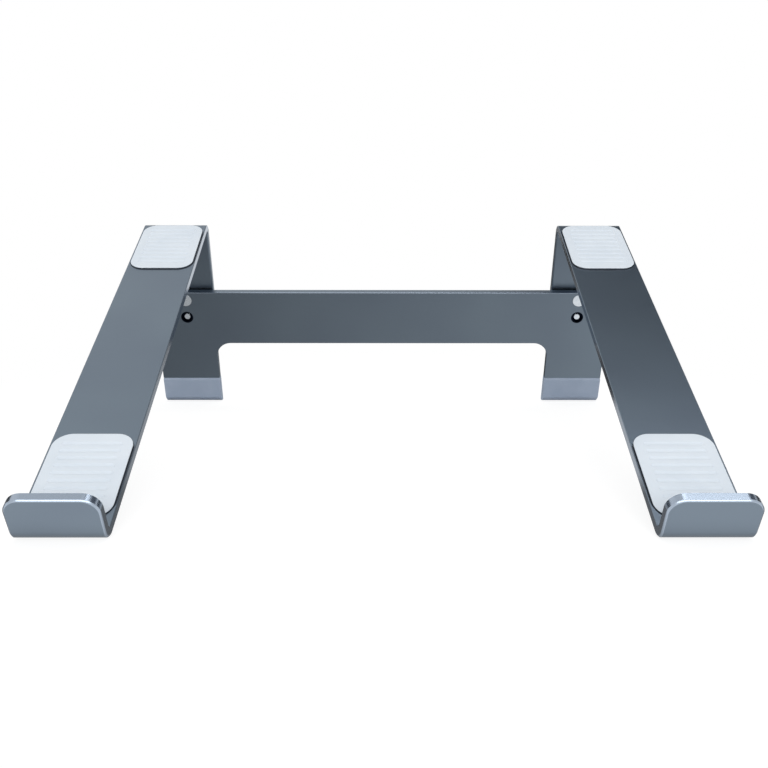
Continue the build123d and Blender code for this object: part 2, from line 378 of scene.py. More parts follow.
    def prepare_slots(self, count: int) -> None:
        """Give the mesh empty material slots, so that a bevel can fill one of them."""
        for _ in range(count):
            self.thing.data.materials.append(None)

    def finish_faces(self, slot: int, test: Test) -> None:
        """Give faces the finish of one material slot.

        Args:
            slot: The slot's number.
            test: Tells which faces.
        """
        self.select(Element.FACE, test)
        self.thing.active_material_index = slot
        bpy.ops.object.material_slot_assign()

    def extrude(self, move: Triple | Vector) -> None:
        """Extrude the selected faces and carry them along."""
        bpy.ops.mesh.extrude_region_move(TRANSFORM_OT_translate={"value": Vector(move) * MM})

    def bend(self, angle: float, centre: Triple, steps: int) -> None:
        """Carry the selected face round a bend about x, from y towards z for an angle above 0."""
        bpy.ops.mesh.spin(steps=steps, angle=angle, center=Vector(centre) * MM, axis=(-1, 0, 0))

    def slice(self, point: Triple, normal: Triple, cut_off: bool = False) -> None:
        """Cut the whole mesh along a plane.

        Args:
            point: A point of the plane.
            normal: The plane's normal.
            cut_off: Whether the part on the normal's side is taken away and the cut closed.
        """
        self.edit()
        bpy.ops.mesh.bisect(
            plane_co=Vector(point) * MM, plane_no=normal, use_fill=cut_off, clear_outer=cut_off,
        )

    def dissolve_flats(self) -> None:
        """Join faces that lie in one plane."""
        self.edit()
        bpy.ops.mesh.dissolve_limited(angle_limit=radians(0.5))

    def apply(self, kind: str, **settings: object) -> None:
        """Add a modifier, set it up and apply it.

        Args:
            kind: The modifier's type.
            **settings: Its properties.
        """
        self.hold()
        modifier = self.thing.modifiers.new(kind.title(), kind)
        for name, value in settings.items():
            setattr(modifier, name, value)
        bpy.ops.object.modifier_apply(modifier=modifier.name)

    def cut(self, cutter: "Workpiece") -> None:
        """Take a cutter's shape out of the piece, and the cutter off the bench."""
        self.apply("BOOLEAN", object=cutter.thing, operation="DIFFERENCE", solver="EXACT")
        cutter.discard()

    def drill(self, node: str, radius: float, ends: Pair, sides: int) -> None:
        """Drill through the piece where a round piece of the slide goes.

        Args:
            node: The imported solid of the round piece.
            radius: The hole's radius.
            ends: The drill's lower and upper end, from the crossbar's front face.
            sides: How many sides the hole has.
        """
        drill = Workpiece.rod("drill", radius, *ends, sides)
        drill.place(Seat.behind_bar(node))
        self.cut(drill)

    def discard(self) -> None:
        """Remove the piece and its mesh."""
        mesh = self.thing.data
        bpy.data.objects.remove(self.thing)
        bpy.data.meshes.remove(mesh)

    def place(self, seat: Seat) -> None:
        """Put the piece on its seat, with its place in its mesh.

        Args:
            seat: Where it goes.
        """
        self.hold()
        self.thing.matrix_world = seat.matrix
        bpy.ops.object.transform_apply(location=True, rotation=True, scale=True)

    def smooth(self, angle: float = 30.0) -> None:
        """Shade the rounds smooth and keep the edges crisp and the broad faces flat.

        Args:
            angle: The least turn of a crisp edge, in degrees.
        """
        self.hold()
        bpy.ops.object.shade_smooth_by_angle(angle=radians(angle))
        self.apply("WEIGHTED_NORMAL", keep_sharp=True)

    def twin(self, name: str) -> "Workpiece":
        """Make the mirror twin on the other side of the stand.

        Args:
            name: The twin's name.

        Returns:
            The twin, with a mesh of its own.
        """
        self.hold()
        bpy.ops.object.duplicate(linked=False)
        other = Workpiece(bpy.context.object)
        other.thing.name = name
        other.thing.data.name = name
        other.edit()
        bpy.ops.transform.mirror(constraint_axis=(True, False, False), center_override=(0, 0, 0))
        bpy.ops.mesh.normals_make_consistent(inside=False)
        bpy.ops.object.mode_set(mode="OBJECT")
        return other

    def hand_over(self, body: str, nodes: list[str], slot: str, *finishes: "Finish") -> None:
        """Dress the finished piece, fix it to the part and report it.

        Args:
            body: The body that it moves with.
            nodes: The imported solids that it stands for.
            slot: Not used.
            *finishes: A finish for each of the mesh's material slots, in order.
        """
        self.clear_bench()
        for number, finish in enumerate(finishes):
            if number < len(self.thing.data.materials):
                self.thing.data.materials[number] = finish.material()
            else:
                self.thing.data.materials.append(finish.material())
        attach(self.thing, body)
        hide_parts(*nodes)
        log.info("%s: %d faces", self.thing.name, len(self.thing.data.polygons))


def linear(code: str) -> tuple[float, float, float, float]:
    """Turn a colour as a screen shows it into the linear one that the shader works in.

    Args:
        code: An sRGB colour such as "#7B8797".

    Returns:
        Linear red, green and blue, and an opacity of one.
    """
    shown = [int(code[place:place + 2], 16) / 255 for place in (1, 3, 5)]
    red, green, blue = [v / 12.92 if v <= 0.04045 else ((v + 0.055) / 1.055) ** 2.4 for v in shown]
    return (red, green, blue, 1.0)


def per_metre(size: float) -> float:
    """Return the pattern scale that makes a feature of this many millimetres."""
    return 1000 / size


def empty_tree(owner: bpy.types.Material | bpy.types.World) -> bpy.types.NodeTree:
    """Empty the node tree of a material or the world.

    Args:
        owner: The material or the world.

    Returns:
        Its tree.
    """
    owner.use_nodes = True
    owner.node_tree.nodes.clear()
    return owner.node_tree


def add_node(tree: bpy.types.NodeTree, kind: str, settings: dict | None = None,
             inputs: dict | None = None) -> bpy.types.Node:
    """Add a node with its settings and links.

    Args:
        tree: The tree it goes in.
        kind: The node's type, as it goes on after ShaderNode.
        settings: Properties of the node itself.
        inputs: What each input socket holds: a value, or another node's output to link.

    Returns:
        The new node.
    """
    node = tree.nodes.new(f"ShaderNode{kind}")
    for name, value in (settings or {}).items():
        setattr(node, name, value)
    for socket, value in (inputs or {}).items():
        if isinstance(value, bpy.types.NodeSocket):
            tree.links.new(value, node.inputs[socket])
        else:
            node.inputs[socket].default_value = value
    return node


@dataclass(frozen=True)
class Finish:
    """A surface finish, named for its material and for how the surface was made.

    A fine grain breaks up the gloss and gives the relief, and wider clouds mix two near colours.
    Each pattern is a size in millimetres and a number of finer layers, the relief a depth in
    millimetres and a strength. The constants are values of the shader's other sockets.
    """

    name: str
    colour: str
    second_colour: str
    roughness: Pair
    grain: Pair
    clouds: Pair
    relief: Pair
    constants: tuple[tuple[str, float | Triple], ...] = (("Metallic", 1.0),)
    cloud_range: Pair = NOISE_RANGE

    def material(self) -> bpy.types.Material:
        """Make the finish's material on its first use.

        Returns:
            The material, whose patterns lie over a piece in its own coordinates.
        """
        made = bpy.data.materials.get(self.name)
        if made:
            return made
        made = bpy.data.materials.new(self.name)
        tree = empty_tree(made)
        place = add_node(tree, "TexCoord")
        grain, clouds = [
            add_node(tree, "TexNoise", inputs={
                "Vector": place.outputs["Object"], "Scale": per_metre(size), "Detail": layers,
                "Roughness": 0.55,
            }).outputs[0]
            for size, layers in (self.grain, self.clouds)
        ]
        gloss, share = [
            add_node(tree, "MapRange", inputs={
                "Value": pattern, "From Min": start, "From Max": end, "To Min": low, "To Max": high,
            }).outputs[0]
            for pattern, (start, end), (low, high) in (
                (grain, NOISE_RANGE, self.roughness), (clouds, self.cloud_range, (0.0, 1.0)))
        ]
        mixed = add_node(tree, "Mix", {"data_type": "RGBA"}, {
            0: share, 6: linear(self.colour), 7: linear(self.second_colour),
        })
        depth, strength = self.relief
        bumped = add_node(tree, "Bump", inputs={
            "Height": self.height(tree, grain), "Distance": depth * MM, "Strength": strength,
        })
        shader = add_node(tree, "BsdfPrincipled", inputs={
            "Base Color": mixed.outputs[2], "Roughness": gloss, "Normal": bumped.outputs[0],
            **dict(self.constants),
        })
        add_node(tree, "OutputMaterial", inputs={"Surface": shader.outputs[0]})
        return made

    def height(self, tree: bpy.types.NodeTree, grain: bpy.types.NodeSocket) -> bpy.types.NodeSocket:
        """Return what the relief is made from, which is the grain."""
        return grain


@dataclass(frozen=True)
class TurnedMetal(Finish):
    """Metal turned on a lathe: fine rings about the piece's own axis catch the light in a fan."""

    centre: Triple = (0.0, 0.0, 0.0)
    ring: float = 0.3

    def about(self, node: str) -> "TurnedMetal":
        """Return the same finish with its rings about one round piece."""
        return replace(self, name=f"{self.name}_{node}", centre=tuple(Seat.behind_bar(node).origin))

    def height(self, tree: bpy.types.NodeTree, grain: bpy.types.NodeSocket) -> bpy.types.NodeSocket:
        """Lay rings about the piece's axis, which leans with the leg.

        Args:
            tree: The material's tree.
            grain: The finish's grain, which the rings take the place of.

        Returns:
            The rings' height.
        """
        place = add_node(tree, "TexCoord")
        centred = add_node(tree, "Mapping", {"vector_type": "TEXTURE"}, {
            "Vector": place.outputs["Object"],
            "Location": Vector(self.centre) * MM,
            "Rotation": Matrix((ACROSS, UP_LEG, OFF_LEG)).transposed().to_euler(),
        })
        rings = add_node(tree, "TexWave", {"wave_type": "RINGS", "rings_direction": "Z"}, {
            "Vector": centred.outputs[0], "Scale": WAVE * per_metre(self.ring),
            "Distortion": 0.4, "Detail": 1.0,
        })
        return rings.outputs[1]


# Sheet aluminium, bead-blasted and anodised: satin, a cool grey that is a little cloudy over a
# hand's width. The blasting pits spread each reflection into a soft glow. They are about 0.1 mm
# across, too fine for the picture, so they are drawn at 0.45.
ANODISED = Finish(
    "anodised_aluminium_bead_blasted", "#7B8894", "#76828F", roughness=(0.31, 0.38),
    grain=(0.45, 3.0), clouds=(45.0, 1.0), relief=(0.02, 0.5),
)
# The same sheet where a diamond cutter ran along its edge: lighter, with a tighter gloss and faint
# tool lines, some 0.05 mm apart in life and drawn at 0.3 so that a close view shows them.
CUT_EDGE = Finish(
    "anodised_aluminium_diamond_cut", "#A4B0BE", "#9EAAB9", roughness=(0.212, 0.228),
    grain=(0.3, 1.0), clouds=(0.3, 1.0), relief=(0.006, 0.01),
)
# Silicone, pressed in a spark-eroded mould: milky white with a touch of blue under a dull skin.
# Spark erosion leaves a grain of about 0.15 mm, drawn at 0.5 so that it shows.
PALE_SILICONE = Finish(
    "silicone_pressed", "#DFE7EF", "#D9E2EB", roughness=(0.47, 0.58),
    grain=(0.5, 2.0), clouds=(18.0, 2.0), relief=(0.03, 0.35),
    constants=(("IOR", 1.41), ("Subsurface Weight", 0.12), ("Subsurface Radius", (1.0, 0.95, 0.9)),
               ("Subsurface Scale", 0.0012)),
)
# Thermoplastic rubber, moulded: bluish grey and matt, with faint rubbed patches. The mould's grain
# is about 0.2 mm, drawn at 0.6 so that it shows.
GREY_RUBBER = Finish(
    "thermoplastic_rubber_moulded", "#9DABBF", "#A5B2C5", roughness=(0.49, 0.61),
    grain=(0.6, 3.0), clouds=(9.0, 3.0), relief=(0.04, 0.4),
    constants=(("IOR", 1.5),), cloud_range=(0.35, 0.75),
)
# Painted shade: a dark slate band in the same matt skin, laid round the pads' front and inner sides and on
# their side walls, where shade falls at the pads' raised edges.
PAD_SHADE = replace(GREY_RUBBER, name="adhesive_film_dark", colour="#363E4A", second_colour="#2F3640")
# Acetal sheet, cut: near black and faintly glossy, with rub marks from the slide, 1.5 mm wide.
BLACK_ACETAL = Finish(
    "acetal_sheet_black", "#0B0F15", "#151A22", roughness=(0.33, 0.48),
    grain=(1.5, 3.0), clouds=(1.5, 3.0), relief=(0.01, 0.3), constants=(("IOR", 1.48),),
)
# Stainless steel, turned: bright. Feed marks are about 0.1 mm apart in life, drawn at 0.3 so that a
# close view shows them.
TURNED_STEEL = TurnedMetal(
    "stainless_steel_turned", "#F2F9FF", "#E8F1FA", roughness=(0.26, 0.35),
    grain=(1.2, 2.0), clouds=(1.2, 2.0), relief=(0.01, 0.35),
)
# Turned steel blackened in a hot salt bath: near black, with a softer gloss.
BLACK_STEEL = replace(
    TURNED_STEEL, name="steel_black_oxide", colour="#0A1220", second_colour="#111A29",
    roughness=(0.36, 0.45),
)
# Stamped steel, zinc-plated: light grey, a little duller.
STAMPED_STEEL = replace(
    TURNED_STEEL, name="steel_zinc_plated", colour="#B9BEC5", second_colour="#A9AFB8",
    roughness=(0.34, 0.43), ring=0.5,
)


@dataclass
class Arm:
    """One bent sheet with its lip, strip and rear leg, its pad seats in a band of painted shade, and its
    slot.
    """

    width: float = 34.4
    sheet: float = 4.0
    strip: float = 236.0
    lip_height: float = 21.7
    lip_bend: float = 6.0
    top_bend: float = 5.5
    lip_corner: float = 6.7
    leg_corner: float = 16.0
    outer_edge: float = 0.7
    top_edge: float = 0.2
    slot_edge: float = 0.3
    slot_width: float = 7.6
    slot_low: float = 36.8
    slot_high: float = 67.6
    slot_back: float = -12.0
    slot_front: float = -4.5
    seat_play: float = 0.3
    seat_front: float = 1.0
    seat_corner: float = 7.8
    # The band of painted shade round each pad: how far it shows past the inner side of both pads and in
    # front of the front pad, how far in front of the rear pad, and how deep it is sunk in the strip.
    shade_band_side: float = 0.75
    film_front: float = 2.4
    shade_band_depth: float = 0.12

    def seat(self) -> Seat:
        """Find the right arm's seat.

        Returns:
            The seat, at the sharp corner under the lip.
        """
        node = "right_arm"
        along = reach(node, ALONG_STRIP)[0]
        off = reach(node, OFF_STRIP)[1] - self.lip_height
        origin = ALONG_STRIP * along + OFF_STRIP * off + ACROSS * middle(node, ACROSS)
        return Seat(origin, ACROSS, ALONG_STRIP, OFF_STRIP)

    def leg_length(self, seat: Seat) -> float:
        """Measure the leg.

        Args:
            seat: The arm's seat.

        Returns:
            The straight length of the leg below the top bend.
        """
        run = self.top_bend * tan(TOP_TURN / 2)
        corner = seat.origin + ALONG_STRIP * (self.strip + run) + OFF_STRIP * self.sheet
        return corner.dot(UP_LEG) - run - reach("right_arm", UP_LEG)[0]

    def sheet_body(self, seat: Seat) -> Workpiece:
        """Bend the sheet, round its corners and break its edges.

        Args:
            seat: The arm's seat.

        Returns:
            The arm without seats or slot, in its own axes.
        """
        half = self.width / 2
        arm = Workpiece.block("right_arm_sheet", (-half, self.lip_bend, 0), (half, self.strip, self.sheet))
        arm.prepare_slots(3)
        arm.select(Element.FACE, lambda place, normal: normal.y > STRAIGHT)
        arm.bend(-TOP_TURN, (0, self.strip, self.sheet - self.top_bend), 16)
        down = Vector((0, cos(TOP_TURN), -sin(TOP_TURN)))
        arm.extrude(down * self.leg_length(seat))
        arm.select(Element.FACE, lambda place, normal: (
            normal.y < -STRAIGHT and 0 < place.z and place.y < self.strip))
        arm.bend(radians(-90), (0, self.lip_bend, self.lip_bend), 14)
        arm.extrude((0, 0, self.lip_height - self.lip_bend))
        arm.tidy()
        lip_end = self.lip_height - NEAR
        arm.finish_faces(1, lambda place, normal: (
            abs(normal.x) > STRAIGHT or normal.dot(down) > STRAIGHT
            or normal.z > STRAIGHT and place.z > lip_end))
        arm.select(Element.EDGE, lambda place, way: abs(way.y) > STRAIGHT and place.z > lip_end)
        arm.bevel(self.lip_corner, 14)
        leg_end = max(vertex.co.dot(down) / MM for vertex in arm.thing.data.vertices) - NEAR
        arm.select(Element.EDGE, lambda place, way: place.dot(down) > leg_end and abs(way.x) < SQUARE)
        arm.bevel(self.leg_corner, 10)
        arm.select_sharp(lambda place, way: self.on_outer_face(place, down))
        arm.bevel(self.outer_edge, 5, material=1, profile=0.32)
        arm.select_sharp(lambda place, way: not self.on_outer_face(place, down))
        arm.bevel(self.top_edge)
        arm.finish_faces(0, lambda place, normal: place.z < -NEAR)
        return arm

    def on_outer_face(self, place: Vector, down: Vector) -> bool:
        """Tell the sheet's outer face from the face that carries the laptop.

        Args:
            place: A place on the sheet, in the arm's own axes.
            down: The direction of the leg.

        Returns:
            True on the lip's front, the underside and the leg's front.
        """
        if self.lip_bend <= place.y <= self.strip and place.z > -self.top_bend:
            return place.z < self.sheet / 2
        if place.y < self.lip_bend:
            centre = Vector((place.x, self.lip_bend, max(place.z, self.lip_bend)))
            return (place - centre).length > self.lip_bend - self.sheet / 2
        centre = Vector((place.x, self.strip, self.sheet - self.top_bend))
        centre += down * max(0, (place - centre).dot(down))
        return (place - centre).length < self.top_bend - self.sheet / 2

    def pad_cutter(self, node: str, floor: float, front: Pair, back: Pair, corner: float) -> Workpiece:
        """Make a cutter with rounded corners about one pad.

        Args:
            node: The pad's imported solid.
            floor: The cutter's lower face, from the pad's face.
            front: How far it goes beyond the pad at the low x side and in front.
            back: How far it goes beyond the pad at the high x side and behind.
            corner: The radius of its corners.

        Returns:
            The cutter, in its place.
        """
        half_x, half_y = extent(node, ACROSS) / 2, extent(node, ALONG_STRIP) / 2
        cutter = Workpiece.tablet(
            "pad_cutter", (-half_x - front[0], -half_y - front[1], floor),
            (half_x + back[0], half_y + back[1], CLEAR), corner, 12)
        cutter.place(Seat.on_top_of(node, ALONG_STRIP, OFF_STRIP))
        return cutter

    def strip_top(self) -> float:
        """Return how far the strip's upper face lies off the origin."""
        return self.seat().origin.dot(OFF_STRIP) + self.sheet

    def slot_cutter(self) -> Workpiece:
        """Make the cutter for the slot in the leg.

        Returns:
            The cutter, in its place.
        """
        half = self.slot_width / 2
        low = self.slot_low - self.slot_high - half
        cutter = Workpiece.tablet(
            "slot", (-half, low, self.slot_back), (half, half, self.slot_front), half - SAME, 14)
        cutter.place(Seat.behind_bar("right_guide_pin"))
        return cutter

    def build(self) -> None:
        """Build both arms and fix them to their bodies."""
        seat = self.seat()
        arm = self.sheet_body(seat)
        arm.place(seat)
        # Sink a band of painted shade round each pad's inner side and front, then cut the pad's seat
        # inside it.
        shade_band_floor = self.strip_top() - self.shade_band_depth
        play = self.seat_play
        for pad, front in (("right_front_pad", self.shade_band_side), ("right_rear_pad", self.film_front)):
            arm.cut(self.pad_cutter(pad, shade_band_floor - reach(pad, OFF_STRIP)[1], (self.shade_band_side, front),
                                    (0, 0), self.seat_corner + self.shade_band_side))
            arm.cut(self.pad_cutter(pad, -extent(pad, OFF_STRIP), (play, play + self.seat_front),
                                    (play, play), self.seat_corner))
        arm.cut(self.slot_cutter())
        pin = Seat.behind_bar("right_guide_pin").origin
        low = self.slot_low - self.slot_high - self.slot_width
        arm.select_sharp(lambda place, way: (
            abs(place.x - pin.x) < self.slot_width / 2 + NEAR
            and low < (place - pin).dot(UP_LEG) < self.slot_width
            and self.slot_back < (place - pin).dot(OFF_LEG) < self.slot_front
            and abs(way.dot(OFF_LEG)) < SQUARE))
        arm.bevel(self.slot_edge, material=1)
        # The band's floor takes the painted shade finish.
        arm.finish_faces(2, lambda place, normal: (
            normal.dot(OFF_STRIP) > STRAIGHT and abs(place.dot(OFF_STRIP) - shade_band_floor) < FLUSH))
        arm.smooth()
        other = arm.twin("left_arm_sheet")
        other.smooth()
        for piece, side in ((arm, Side.RIGHT), (other, Side.LEFT)):
            piece.hand_over(side.body, [side.node("arm")], "arm", ANODISED, CUT_EDGE, PAD_SHADE)


@dataclass
class Crossbar:
    """The flat plate with two short legs, each ending in a tongue for its foot cap."""

    half_width: float = 132.5
    sheet: float = 4.0
    top: float = 72.6
    bottom: float = 39.8
    leg_width: float = 34.0
    shoulder: float = 16.2
    tongue_end: float = 2.0
    cap_wall: float = 0.9
    notch: float = 8.5
    corner: float = 3.0
    front_edge: float = 0.5
    leg_edge: float = 0.15
    back_edge: float = 0.2
    pin_hole: float = 3.7
    bush_hole: float = 3.55
    drill_ends: Pair = (-5.0, 1.0)

    def seat(self) -> Seat:
        """Return the crossbar's seat, where its front face meets the desk."""
        face = reach("crossbar", OFF_LEG)[1]
        return Seat(Vector((0, face / OFF_LEG.y, 0)), ACROSS, UP_LEG, OFF_LEG)

    def build(self) -> None:
        """Build the plate, drill it and fix it to its body."""
        bar = Workpiece.block("crossbar_plate", (-self.half_width, self.bottom, -self.sheet),
                              (self.half_width, self.top, 0))
        bar.prepare_slots(2)
        inner = self.half_width - self.leg_width
        for x in (inner, inner + self.cap_wall, self.half_width - self.cap_wall):
            bar.slice((x, 0, 0), (1, 0, 0))
            bar.slice((-x, 0, 0), (1, 0, 0))
        bar.select(Element.FACE, lambda place, normal: normal.y < -STRAIGHT and abs(place.x) > inner)
        bar.extrude((0, self.shoulder - self.bottom, 0))
        bar.select(Element.FACE, lambda place, normal: (
            normal.y < -STRAIGHT and place.y < self.shoulder + NEAR
            and inner + self.cap_wall < abs(place.x) < self.half_width - self.cap_wall))
        bar.extrude((0, self.tongue_end - self.shoulder, 0))
        bar.dissolve_flats()
        for height, radius, steps in ((self.bottom, self.notch, 14), (self.top, self.corner, 10)):
            bar.select(Element.EDGE, lambda place, way: (
                abs(way.z) > STRAIGHT and abs(place.y - height) < NEAR))
            bar.bevel(radius, steps)
        rim = self.top - self.corner - NEAR
        bar.select_sharp(lambda place, way: abs(way.z) < SQUARE and place.z > -NEAR and place.y > rim)
        bar.bevel(self.front_edge, 2, material=1)
        bar.select_sharp(lambda place, way: abs(way.z) < SQUARE and place.z > -NEAR and place.y < rim)
        bar.bevel(self.leg_edge)
        bar.select_sharp(lambda place, way: abs(way.z) < SQUARE and place.z < NEAR - self.sheet)
        bar.bevel(self.back_edge)
        bar.place(self.seat())
        for side in Side:
            bar.drill(side.node("guide_pin"), self.pin_hole, self.drill_ends, TURN_STEPS)
            bar.drill(side.node("threaded_bush"), self.bush_hole, self.drill_ends, TURN_STEPS)
        bar.smooth()
        bar.hand_over("crossbar_frame", ["crossbar"], "crossbar", ANODISED, CUT_EDGE)


@dataclass
class RibbedPad:
    """A pale pad let into the strip, grooved across with round-ended grooves."""

    width: float = 32.4
    length: float = 46.9
    forward: float = 0.3
    thickness: float = 1.2
    corner: float = 7.5
    rim: float = 0.35
    count: int = 9
    pitch: float = 4.3
    groove_width: float = 2.3
    groove_depth: float = 0.4
    groove_length: float = 24.4
    raised: float = 0.3

    def groove_cutter(self) -> Workpiece:
        """Make the long round-ended cutters, one for each groove.

        Returns:
            All the cutters, as one piece.
        """
        radius = (self.groove_width ** 2 / 4 + self.groove_depth ** 2) / (2 * self.groove_depth)
        Workpiece.clear_bench()
        bpy.ops.mesh.primitive_uv_sphere_add(
            segments=64, ring_count=32, radius=radius * MM,
            location=(0, -(self.count - 1) / 2 * self.pitch * MM, (radius - self.groove_depth) * MM),
        )
        cutter = Workpiece.fresh("grooves")
        stretch = (self.groove_length - self.groove_width) / 2
        for way in (-1, 1):
            cutter.select(Element.VERTEX, lambda place, normal: place.x * way > FLUSH)
            bpy.ops.transform.translate(value=(way * stretch * MM, 0, 0))
        cutter.apply("ARRAY", count=self.count, use_relative_offset=False, use_constant_offset=True,
                     constant_offset_displace=(0, self.pitch * MM, 0))
        return cutter

    def build(self) -> None:
        """Build one pad and lay its copies in the four seats."""
        half_x, half_y = self.width / 2, self.length / 2
        pad = Workpiece.tablet("ribbed_pad", (-half_x, -half_y, -self.raised - self.thickness),
                               (half_x, half_y, 0), self.corner, 14)
        pad.prepare_slots(2)
        pad.select_sharp(lambda place, way: place.z > -FLUSH)
        pad.bevel(self.rim, 4)
        pad.cut(self.groove_cutter())
        # The side walls take the painted shade finish, standing for the shade at the pad's raised edge.
        pad.finish_faces(1, lambda place, normal: abs(normal.z) < SQUARE)
        for side in Side:
            for name in ("front_pad", "rear_pad"):
                node = side.node(name)
                copy = Workpiece.copy_of(f"{node}_silicone", pad.thing.data)
                seat = Seat.on_top_of(node, ALONG_STRIP, OFF_STRIP)
                move = OFF_STRIP * self.raised - ALONG_STRIP * self.forward
                copy.place(replace(seat, origin=seat.origin + move))
                copy.smooth(angle=20)
                copy.hand_over(side.body, [node], "ribbed_pad", PALE_SILICONE, PAD_SHADE)
        pad.discard()


@dataclass
class LipPad:
    """The thin pad on the inner face of the lip, where the laptop's front edge leans."""

    width: float = 24.4
    height: float = 11.3
    thickness: float = 1.0
    corner: float = 3.0
    rim: float = 0.25

    def build(self) -> None:
        """Build the pad for both sides."""
        half_x, half_y = self.width / 2, self.height / 2
        for side in Side:
            node = side.node("lip_pad")
            pad = Workpiece.tablet(f"{node}_silicone", (-half_x, -half_y, -self.thickness),
                                   (half_x, half_y, 0), self.corner, 10)
            pad.select_sharp(lambda place, way: place.z > -FLUSH)
            pad.bevel(self.rim, 3)
            pad.place(Seat.on_top_of(node, OFF_STRIP, ALONG_STRIP))
            pad.smooth()
            pad.hand_over(side.body, [node], "lip_pad", PALE_SILICONE)


@dataclass
class FootCap:
    """The rubber sleeve on each leg of the crossbar, bevelled at its rim and above its sole."""

    half_width: float = 17.0
    wall: float = 0.9
    plate: float = 4.0
    shoulder: float = 16.2
    rim_bevel: float = 1.5
    sole_bevel: float = 2.9
    bevel_depth: float = 0.8
    tongue_end: float = 2.0
    edge: float = 0.35

    def build(self) -> None:
        """Build the cap for both sides."""
        bar = Crossbar().seat()
        front, back = self.wall, -self.plate - self.wall
        start = (front - self.bevel_depth) * tan(LEAN)
        cuts = (
            ((0, 0, 0), (0, -cos(LEAN), sin(LEAN))),
            ((0, self.shoulder, front - self.bevel_depth), (0, self.bevel_depth, self.rim_bevel)),
            ((0, self.shoulder, back + self.bevel_depth), (0, self.bevel_depth, -self.rim_bevel)),
            ((0, self.sole_bevel, front), (0, -self.bevel_depth, self.sole_bevel - start)),
        )
        for side in Side:
            node = side.node("foot_cap")
            cap = Workpiece.block(f"{node}_rubber", (-self.half_width, -CLEAR, back),
                                  (self.half_width, self.shoulder, front))
            for point, normal in cuts:
                cap.slice(point, normal, cut_off=True)
            cap.tidy()
            cap.select_sharp(lambda place, way: True, angle=12)
            cap.bevel(self.edge, 3)
            inside = self.half_width - self.wall
            cap.cut(Workpiece.block("tongue", (-inside, self.tongue_end, -self.plate),
                                    (inside, self.shoulder + CLEAR, 0)))
            cap.place(Seat(bar.origin + ACROSS * middle(node, ACROSS), ACROSS, UP_LEG, OFF_LEG))
            cap.smooth(angle=40)
            cap.hand_over("crossbar_frame", [node], "foot_cap", GREY_RUBBER)


@dataclass
class FrontFoot:
    """The small rubber wedge between the desk and the sheet, just behind the lip's bend."""

    block_top: float = 9.0
    spare: float = 1.5
    corner: float = 1.5
    edge: float = 0.3

    def build(self) -> None:
        """Build the wedge for both sides, fitted to the underside of the sheet."""
        for side in Side:
            node = side.node("front_foot")
            low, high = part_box(node)
            wedge = Workpiece.tablet(f"{node}_rubber", tuple(low / MM),
                                     (high.x / MM, high.y / MM, self.block_top), self.corner, 6)
            wedge.select_sharp(lambda place, way: place.z < NEAR)
            wedge.bevel(self.edge, 3)
            wedge.slice((0, high.y / MM, high.z / MM + self.spare), tuple(OFF_STRIP), cut_off=True)
            sheet = Workpiece.copy_of("sheet_copy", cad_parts[side.node("arm")].data)
            sheet.tidy()
            wedge.cut(sheet)
            wedge.smooth()
            wedge.hand_over(side.body, [node], "front_foot", GREY_RUBBER)


